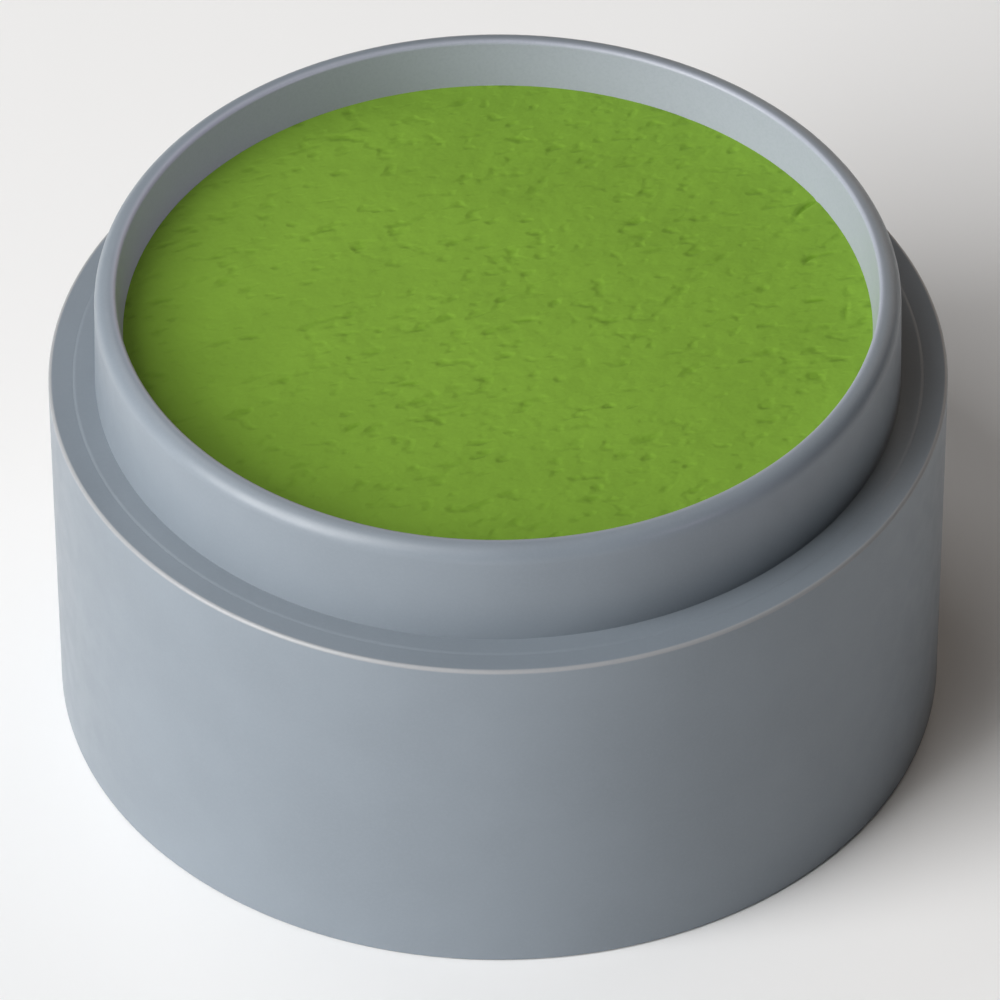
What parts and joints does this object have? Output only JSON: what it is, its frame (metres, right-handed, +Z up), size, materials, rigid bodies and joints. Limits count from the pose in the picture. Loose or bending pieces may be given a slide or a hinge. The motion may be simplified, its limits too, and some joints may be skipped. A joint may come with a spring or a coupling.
{
  "type": "paint jar",
  "caption": "Open round double-walled plastic pot with a neck and shoulder for a lid, filled with a cake of green paint.",
  "frame": {"origin": "centre of the foot ring, on the plane that the jar stands on", "axes": "+Z up along the jar's axis; the jar is round, so X and Y are free"},
  "size_m": [0.05, 0.05, 0.028],
  "materials": {
    "shell_plastic": "satin",
    "cup_plastic": "satin",
    "paint": "matte",
    "label": "satin"
  },
  "bodies": {
    "root": {"outer_shell": "shell_plastic", "inner_cup": "cup_plastic", "paint_cake": "paint", "base_label": "label"}
  },
  "joints": []
}
